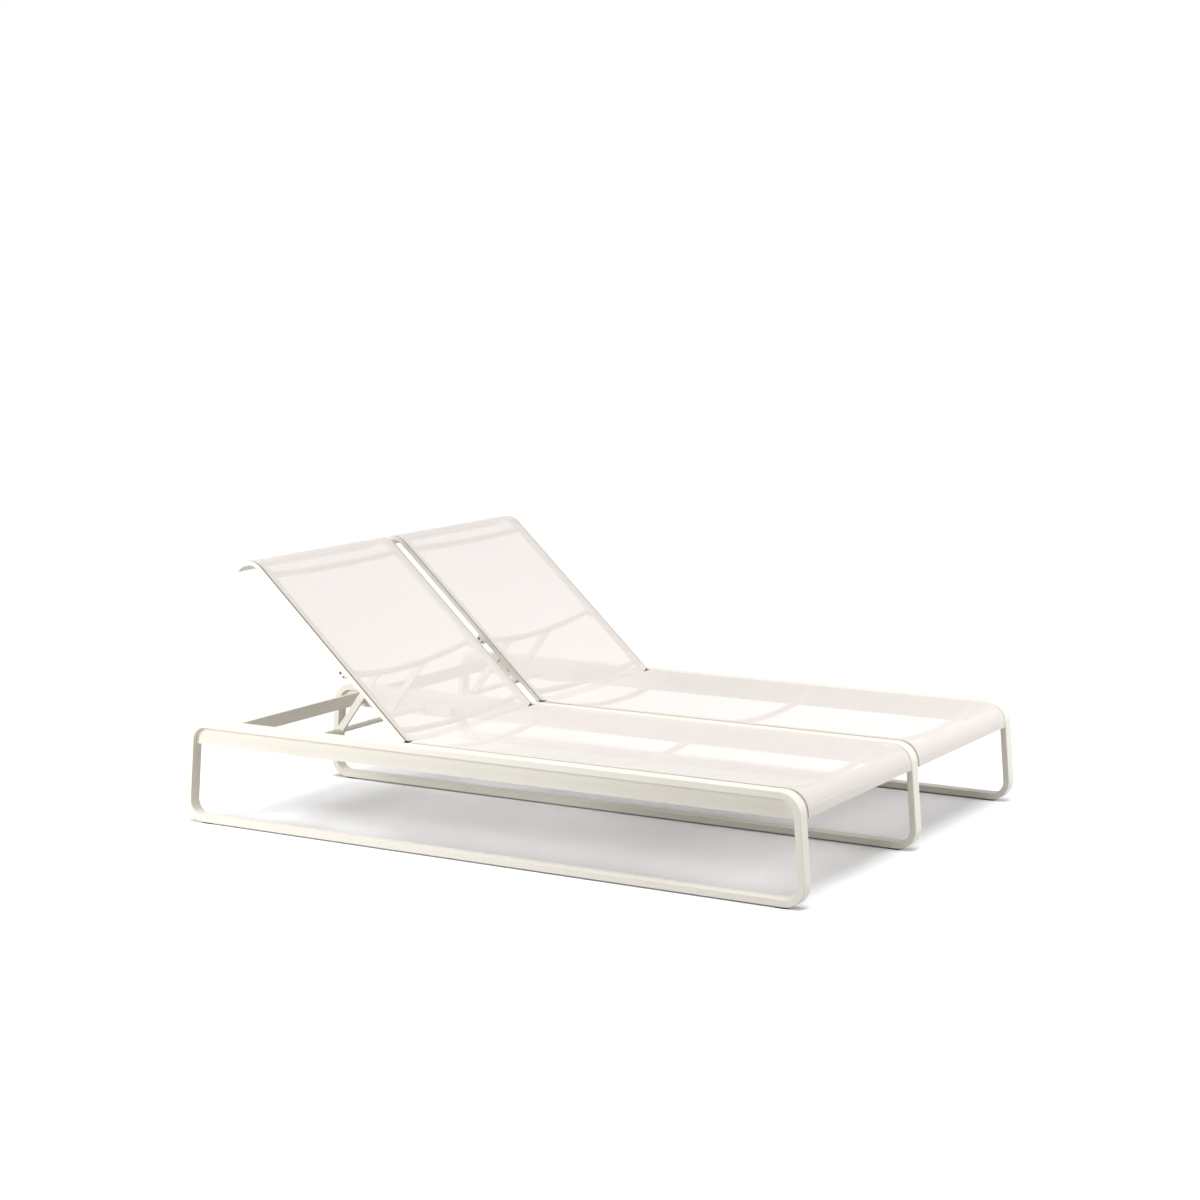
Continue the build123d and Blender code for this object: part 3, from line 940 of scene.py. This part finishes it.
class Fasteners:
    """Screws and caps in the ears, plugs in the ends of the hollow rails and sleeves round the hinge eyes."""

    def __init__(self, frame: FrameSizes, steel: bpy.types.Material, plastic: bpy.types.Material) -> None:
        """Choose the finishes.

        Args:
            frame: the sizes of the frame.
            steel: the finish of the screws.
            plastic: the finish of the plugs, caps and sleeves.
        """
        self.frame = frame
        self.sizes = FastenerSizes()
        self.steel = steel
        self.plastic = plastic

    @staticmethod
    def _stud(shape: BMesh, radius: float, height: float, facets: int) -> list[BMFace]:
        """Add a round stud that points along Z.

        Args:
            shape: the bmesh that gets it.
            radius: its radius.
            height: its height.
            facets: the number of its sides.

        Returns:
            Its top face, in a list.
        """
        seat = set(bmesh.ops.create_circle(shape, cap_ends=True, segments=facets, radius=radius)["verts"])
        face = next(face for face in shape.faces if set(face.verts) == seat)
        top = bmesh.ops.extrude_discrete_faces(shape, faces=[face])["faces"]
        bmesh.ops.translate(shape, vec=(0, 0, height), verts=top[0].verts)
        return top

    @staticmethod
    def _island(start: BMVert) -> list[BMVert]:
        """Gather what is joined to a vertex.

        Args:
            start: the vertex.

        Returns:
            The vertex and every one that edges join it to.
        """
        found = {start}
        open_ends = [start]
        while open_ends:
            vert = open_ends.pop()
            near = {edge.other_vert(vert) for edge in vert.link_edges} - found
            found |= near
            open_ends.extend(near)
        return list(found)

    def _set_stud(self, shape: BMesh, face: BMFace, inset: float, setback: float, side: int) -> None:
        """Lay a stud along X and set it in an ear.

        Args:
            shape: the bmesh that it is in.
            face: one of its faces.
            inset: how far its base lies inside the ear's outer face.
            setback: how far it stands from the pivot, towards the hinge.
            side: minus one or one, the long edge of the bed, which is the way that it points.
        """
        sizes, frame = self.sizes, self.frame
        verts = self._island(face.verts[0])
        turn = Matrix.Rotation(math.radians(90 * side), 3, "Y")
        place = (
            side * (sizes.ear_face - inset),
            frame.hinge_y + sizes.ear_reach - setback,
            frame.hinge_z - sizes.ear_drop,
        )
        bmesh.ops.rotate(shape, cent=(0, 0, 0), matrix=turn, verts=verts)
        bmesh.ops.translate(shape, vec=place, verts=verts)

    def _screw(self, shape: BMesh, side: int) -> None:
        """Add a domed socket screw on the outer face of an ear.

        Args:
            shape: the bmesh that gets it.
            side: minus one or one, the long edge of the bed.
        """
        sizes = self.sizes
        radius, height = sizes.screw_radius, sizes.screw_height
        top = self._stud(shape, radius, height, sizes.screw_facets)
        inset, rise = radius * sizes.dome_inset_share, height * sizes.dome_rise_share
        bmesh.ops.inset_region(shape, faces=top, thickness=inset, depth=rise)
        bmesh.ops.inset_region(shape, faces=top, thickness=radius * sizes.socket_rim_share, depth=0.0)
        well = bmesh.ops.extrude_discrete_faces(shape, faces=top)["faces"]
        bmesh.ops.translate(shape, vec=(0, 0, -sizes.socket_depth), verts=well[0].verts)
        self._set_stud(shape, well[0], 0.0, sizes.screw_setback, side)

    def _cap(self, shape: BMesh, side: int) -> None:
        """Add a domed black cap that closes the pivot's hole in an ear; its black also stands in as painted
        shade of the recessed hole.

        Args:
            shape: the bmesh that gets it.
            side: minus one or one, the long edge of the bed.
        """
        sizes = self.sizes
        radius, height = sizes.cap_radius, sizes.cap_height
        top = self._stud(shape, radius, height * sizes.cap_wall_share, sizes.cap_facets)
        for share in sizes.cap_rise_shares:
            ring = radius * sizes.cap_ring_share
            bmesh.ops.inset_region(shape, faces=top, thickness=ring, depth=height * share)
        self._set_stud(shape, top[0], sizes.cap_sunk + height, 0.0, side)

    def _plug(self, shape: BMesh, side: int) -> None:
        """Add a rounded plug with a dished face in the end of a rail.

        Args:
            shape: the bmesh that gets it.
            side: minus one or one, the long edge of the bed.
        """
        sizes, frame = self.sizes, self.frame
        width = (frame.rail_outer - frame.rail_inner) / 2 - 2 * sizes.plug_inset
        size = (width, 2 * sizes.plug_proud, frame.rail_depth - 2 * sizes.plug_inset)
        middle = (
            side * (frame.rail_outer - width / 2 - sizes.plug_inset),
            frame.hinge_y + frame.rail_end,
            frame.rail_top - frame.rail_depth / 2,
        )
        made = bmesh.ops.create_cube(shape, size=1.0)["verts"]
        bmesh.ops.scale(shape, vec=size, verts=made)
        bmesh.ops.translate(shape, vec=middle, verts=made)
        faces = {face for vert in made for face in vert.link_faces}
        front = min(faces, key=lambda face: face.calc_center_median().y)
        bmesh.ops.inset_region(shape, faces=[front], thickness=sizes.plug_rim, depth=-sizes.plug_dish)
        edges = {edge for vert in made for edge in vert.link_edges if edge.other_vert(vert) in made}
        bmesh.ops.bevel(
            shape,
            geom=list(edges),
            offset=sizes.plug_bevel,
            affect="EDGES",
            segments=2,
            profile=0.5,
            material=-1,
        )

    def _sleeve(self, shape: BMesh, side: int) -> None:
        """Add the open sleeve round a hinge eye, with its gap where the eye's neck leaves.

        Args:
            shape: the bmesh that gets it.
            side: minus one or one, the long edge of the bed.
        """
        sizes, frame = self.sizes, self.frame
        corners = (
            (sizes.sleeve_near, sizes.sleeve_inner),
            (sizes.sleeve_far, sizes.sleeve_inner),
            (sizes.sleeve_far, sizes.sleeve_outer),
            (sizes.sleeve_near, sizes.sleeve_outer),
        )
        centre = Vector((0, frame.hinge_y, frame.hinge_z))
        start = Matrix.Rotation(math.radians(sizes.sleeve_gap), 3, "X")
        verts = [shape.verts.new(centre + start @ Vector((side * x, radius, 0))) for x, radius in corners]
        bmesh.ops.spin(
            shape,
            geom=[shape.faces.new(verts)],
            cent=centre,
            axis=(1, 0, 0),
            angle=math.radians(360 - 2 * sizes.sleeve_gap),
            steps=sizes.sleeve_steps,
            use_merge=False,
        )

    def build(self) -> None:
        """Build the fasteners of both beds, one piece for each kind and backrest."""
        kinds = (
            ("ear_screws", self._screw, self.steel, "frame_paint"),
            ("rail_plugs", self._plug, self.plastic, "glide"),
            # The black pivot caps are also painted shade in the recessed pivot holes.
            ("pivot_caps_painted_shade", self._cap, self.plastic, "glide"),
            ("hinge_sleeves", self._sleeve, self.plastic, "glide"),
        )
        for bed in Bed:
            for name, add, material, slot in kinds:
                shape = bmesh.new()
                for side in SIDES:
                    add(shape, side)
                rim = [edge for edge in shape.edges if edge.is_boundary]
                bmesh.ops.holes_fill(shape, edges=rim, sides=0)
                bmesh.ops.recalc_face_normals(shape, faces=shape.faces)
                self.frame.recline(shape)
                across = bed.sign * self.frame.bed_x
                bmesh.ops.translate(shape, vec=(across, 0, 0), verts=shape.verts)
                finished(f"{name}_{bed.label}", shape, material, f"backrest_{bed.label}")


class Metalwork:
    """The CAD's own metal and plastic nodes, which keep their shape and get their finish here."""

    def __init__(self, nodes: dict[str, bpy.types.Object]) -> None:
        """Take the frame's nodes by name, apart from the slings."""
        self.nodes = {name: node for name, node in nodes.items() if "sling" not in name}

    def dress(self, paint: bpy.types.Material, others: dict[str, bpy.types.Material]) -> None:
        """Give each node its finish.

        Args:
            paint: the finish of most nodes.
            others: other finishes, by the first word of a node's name.
        """
        for name, node in self.nodes.items():
            if not node.material_slots:
                node.data.materials.append(None)
            for slot in node.material_slots:
                slot.material = others.get(name.partition("_")[0], paint)
        LOG.info("finished %d CAD nodes", len(self.nodes))


# Studio


@dataclass(frozen=True)
class Softbox:
    """A square lamp: its name, place, the point it faces, its edge and its power in watts."""

    name: str
    place: tuple[float, float, float]
    aim: tuple[float, float, float]
    edge: float
    power: float


@dataclass(frozen=True)
class StudioSettings:
    """Camera, lamps and floor."""

    azimuth: float = -59.873
    elevation: float = 8.151
    distance: float = 7.4045
    shift_right: float = -0.021941
    shift_up: float = 0.63319
    lens: float = 73.858
    sensor: float = 36.0
    view_reach: float = 200.0
    sky: float = 0.15
    sun: float = 2.44
    sun_from: tuple[float, float, float] = (-0.06, -0.05, 0.40)
    sun_angle: float = 34.0
    lamps: tuple[Softbox, ...] = (
        Softbox("side", place=(-3.1, 1.9, 1.4), aim=(-0.7, 0.3, 0.2), edge=1.4, power=68.0),
        Softbox("fill", place=(0.9, -3.4, 1.3), aim=(0.2, -1.0, 0.25), edge=1.4, power=36.0),
    )
    floor_bounce: Colour = (0.50, 0.50, 0.50)
    floor_seen: Colour = (1.09, 1.10, 1.12)
    floor_half: float = 30.0


class Studio:
    """Pale floor, soft light and the camera at the angle of the photograph."""

    def __init__(self) -> None:
        """Take the settings."""
        self.settings = StudioSettings()

    @staticmethod
    def _seen(nodes: NodeTree) -> Signal:
        """Tell what is looked at from what only gives light.

        Args:
            nodes: the nodes of a material or the world.

        Returns:
            One for rays from the camera, off gloss and through glass, and zero for others.
        """
        camera = nodes.node("ShaderNodeLightPath", {}, {}, "Is Camera Ray")
        seen = camera + camera.sibling("Is Glossy Ray")
        return seen.math("ADD", camera.sibling("Is Transmission Ray"), clamp=True)

    def _sky(self) -> None:
        """White to the camera, and a softer white as a light."""
        world = bpy.data.worlds.new("studio")
        bpy.context.scene.world = world
        world.use_nodes = True
        nodes = NodeTree(world.node_tree)
        light, white = (
            nodes.node("ShaderNodeBackground", {}, {"Color": (1, 1, 1, 1), "Strength": strength})
            for strength in (self.settings.sky, 1.0)
        )
        mixed = nodes.node("ShaderNodeMixShader", {}, {0: self._seen(nodes), 1: light, 2: white})
        nodes.surface(mixed, "ShaderNodeOutputWorld")

    def _floor(self) -> None:
        """White floor that keeps the lounger's shadow."""
        shape = bmesh.new()
        bmesh.ops.create_grid(shape, x_segments=2, y_segments=2, size=self.settings.floor_half)
        mesh = bpy.data.meshes.new("floor")
        shape.to_mesh(mesh)
        shape.free()
        floor = bpy.data.objects.new("floor", mesh)
        bpy.context.scene.collection.objects.link(floor)
        material, nodes = new_material("floor")
        dull, lit = (
            nodes.node("ShaderNodeBsdfDiffuse", {}, {"Color": (*colour, 1.0)})
            for colour in (self.settings.floor_bounce, self.settings.floor_seen)
        )
        nodes.surface(nodes.node("ShaderNodeMixShader", {}, {0: self._seen(nodes), 1: dull, 2: lit}))
        mesh.materials.append(material)

    @staticmethod
    def _hang(lamp: bpy.types.Light, place: Vector, back: Vector) -> None:
        """Hang a lamp.

        Args:
            lamp: the lamp.
            place: where it hangs.
            back: the direction that it faces away from.
        """
        holder = bpy.data.objects.new(lamp.name, lamp)
        holder.location = place
        holder.rotation_euler = back.to_track_quat("Z", "Y").to_euler()
        holder.visible_camera = False
        bpy.context.scene.collection.objects.link(holder)

    def _lamps(self) -> None:
        """One wide soft key from above, and the softboxes at the sides."""
        settings = self.settings
        key = bpy.data.lights.new("key", "SUN")
        key.energy = settings.sun
        key.angle = math.radians(settings.sun_angle)
        self._hang(key, Vector(), Vector(settings.sun_from))
        for box in settings.lamps:
            lamp = bpy.data.lights.new(box.name, "AREA")
            lamp.energy = box.power
            lamp.size = box.edge
            self._hang(lamp, Vector(box.place), Vector(box.place) - Vector(box.aim))

    def _camera(self) -> None:
        """Camera at the photograph's place and lens."""
        settings = self.settings
        turn, lift = math.radians(settings.azimuth), math.radians(settings.elevation)
        right = Vector((math.cos(turn), math.sin(turn), 0))
        back = Vector((math.sin(turn) * math.cos(lift), -math.cos(turn) * math.cos(lift), math.sin(lift)))
        up = back.cross(right)
        data = bpy.data.cameras.new("camera")
        data.lens = settings.lens
        data.sensor_width = settings.sensor
        data.clip_end = settings.view_reach
        camera = bpy.data.objects.new("camera", data)
        camera.rotation_euler = Matrix((right, up, back)).transposed().to_euler()
        camera.location = right * settings.shift_right + up * settings.shift_up + back * settings.distance
        bpy.context.scene.collection.objects.link(camera)
        bpy.context.scene.camera = camera

    def build(self) -> None:
        """Build the whole studio."""
        self._sky()
        self._floor()
        self._lamps()
        self._camera()
        bpy.context.scene.view_settings.view_transform = "Standard"


def main() -> None:
    """Build the looks of the lounger and its studio."""
    logging.basicConfig(level=logging.INFO)
    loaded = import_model()
    frame = FrameSizes()
    finishes = (PAINT, PLATE_PAINT_WITH_PAINTED_SHADE, NYLON, SLOT_SHADE_RUBBER, STEEL, WEAVE, INNER_WEAVE)
    paint, plate_paint_with_painted_shade, nylon, rubber, steel, cloth, lining = (finish.material() for finish in finishes)
    # The rail plates take the darker coat, which is painted shade under the top tubes.
    Metalwork(loaded["nodes"]).dress(paint, {"glide": nylon, "hinge": nylon, "rail": plate_paint_with_painted_shade})
    for bed in Bed:
        for part in Part:
            Sling(bed, part, frame, cloth, lining).build()
            # The splines' dark finish is also painted shade in the slots.
            Splines(bed, part, frame, rubber).build()
    Fasteners(frame, steel, nylon).build()
    Studio().build()


if __name__ == "__main__":
    main()
